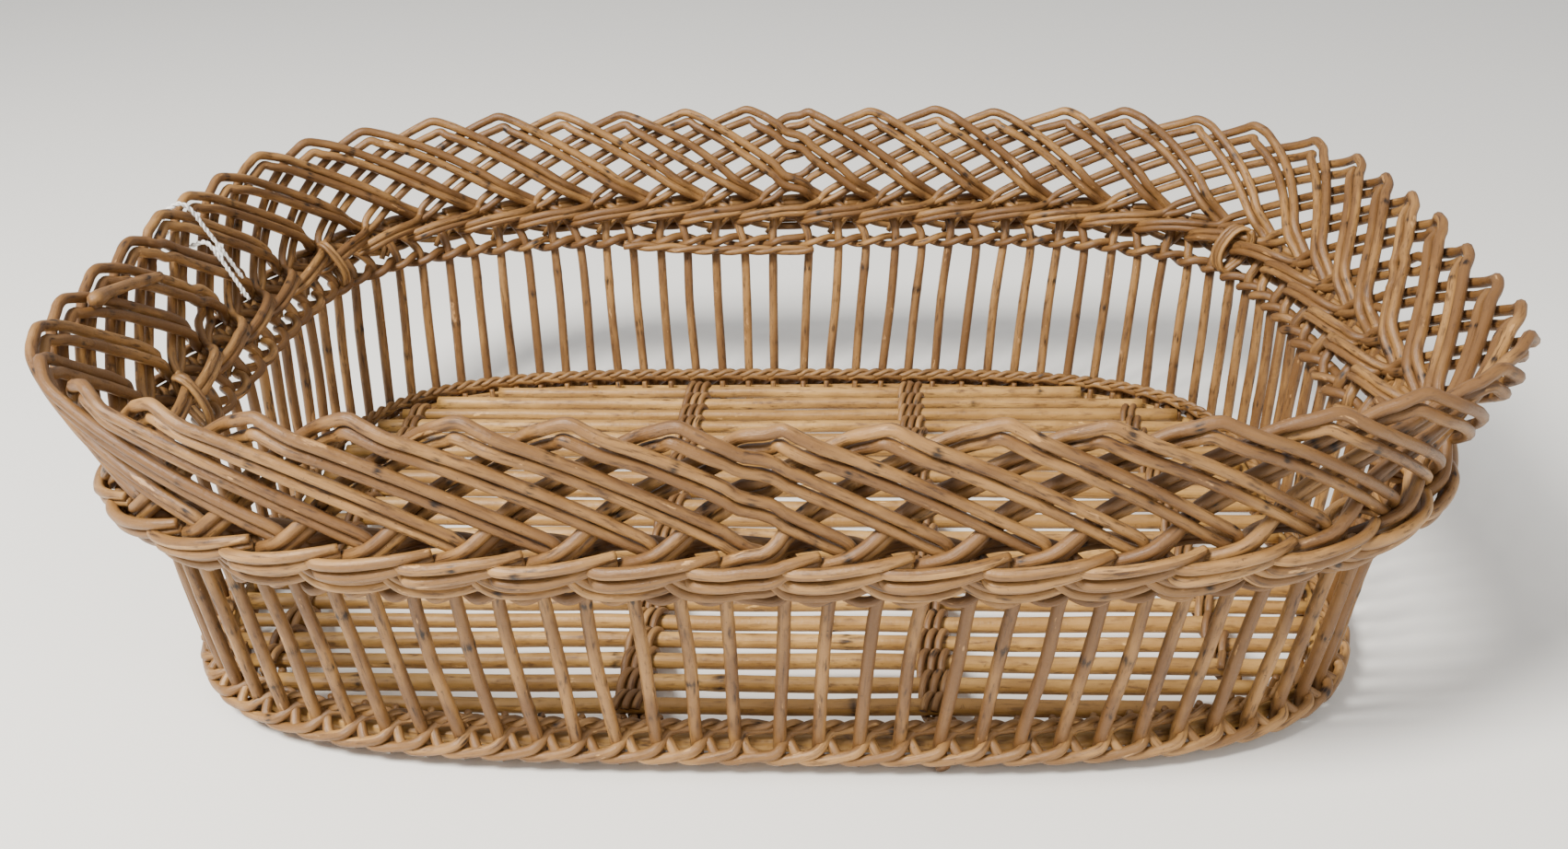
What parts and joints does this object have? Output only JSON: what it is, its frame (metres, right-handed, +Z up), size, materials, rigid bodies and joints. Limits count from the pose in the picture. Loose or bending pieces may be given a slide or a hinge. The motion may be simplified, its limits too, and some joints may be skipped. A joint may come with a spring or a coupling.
{
  "type": "openwork willow basket",
  "caption": "Oblong openwork willow basket with upright stakes, a plaited border and a flared lattice rim, for carrying or displaying goods.",
  "frame": {"origin": "on the floor under the middle of the arch tops' outline", "axes": "+X along the basket's long side, +Z up out of its mouth"},
  "size_m": [0.501, 0.3617, 0.1425],
  "materials": {
    "stake_bark": "aged willow rod, satin",
    "border_willow": "aged willow rod, rubbed satin",
    "base_willow": "golden peeled willow, satin",
    "wale_willow": "brown willow, matt",
    "cotton_string": "white cotton, matt"
  },
  "bodies": {
    "root": {"stake_pair_01": "stake_bark", "stake_pair_02": "stake_bark", "stake_pair_03": "stake_bark", "stake_pair_04": "stake_bark", "stake_pair_05": "stake_bark", "stake_pair_06": "stake_bark", "stake_pair_07": "stake_bark", "stake_pair_08": "stake_bark", "stake_pair_09": "stake_bark", "stake_pair_10": "stake_bark", "stake_pair_11": "stake_bark", "stake_pair_12": "stake_bark", "stake_pair_13": "stake_bark", "stake_pair_14": "stake_bark", "stake_pair_15": "stake_bark", "stake_pair_16": "stake_bark", "stake_pair_17": "stake_bark", "stake_pair_18": "stake_bark", "stake_pair_19": "stake_bark", "stake_pair_20": "stake_bark", "stake_pair_21": "stake_bark", "stake_pair_22": "stake_bark", "stake_pair_23": "stake_bark", "stake_pair_24": "stake_bark", "stake_pair_25": "stake_bark", "stake_pair_26": "stake_bark", "stake_pair_27": "stake_bark", "stake_pair_28": "stake_bark", "stake_pair_29": "stake_bark", "stake_pair_30": "stake_bark", "stake_pair_31": "stake_bark", "stake_pair_32": "stake_bark", "stake_pair_33": "stake_bark", "stake_pair_34": "stake_bark", "stake_pair_35": "stake_bark", "stake_pair_36": "stake_bark", "stake_pair_37": "stake_bark", "stake_pair_38": "stake_bark", "stake_pair_39": "stake_bark", "stake_pair_40": "stake_bark", "stake_pair_41": "stake_bark", "stake_pair_42": "stake_bark", "stake_pair_43": "stake_bark", "stake_pair_44": "stake_bark", "stake_pair_45": "stake_bark", "stake_pair_46": "stake_bark", "stake_pair_47": "stake_bark", "stake_pair_48": "stake_bark", "stake_pair_49": "stake_bark", "base_hoop": "base_willow", "foot_wale_outer": "wale_willow", "foot_wale_inner": "wale_willow", "side_wale_inner": "wale_willow", "border_plait": "border_willow", "base_grid": "base_willow", "cross_stick_left": "wale_willow", "cross_stick_right": "wale_willow", "string_tie": "cotton_string"}
  },
  "joints": []
}
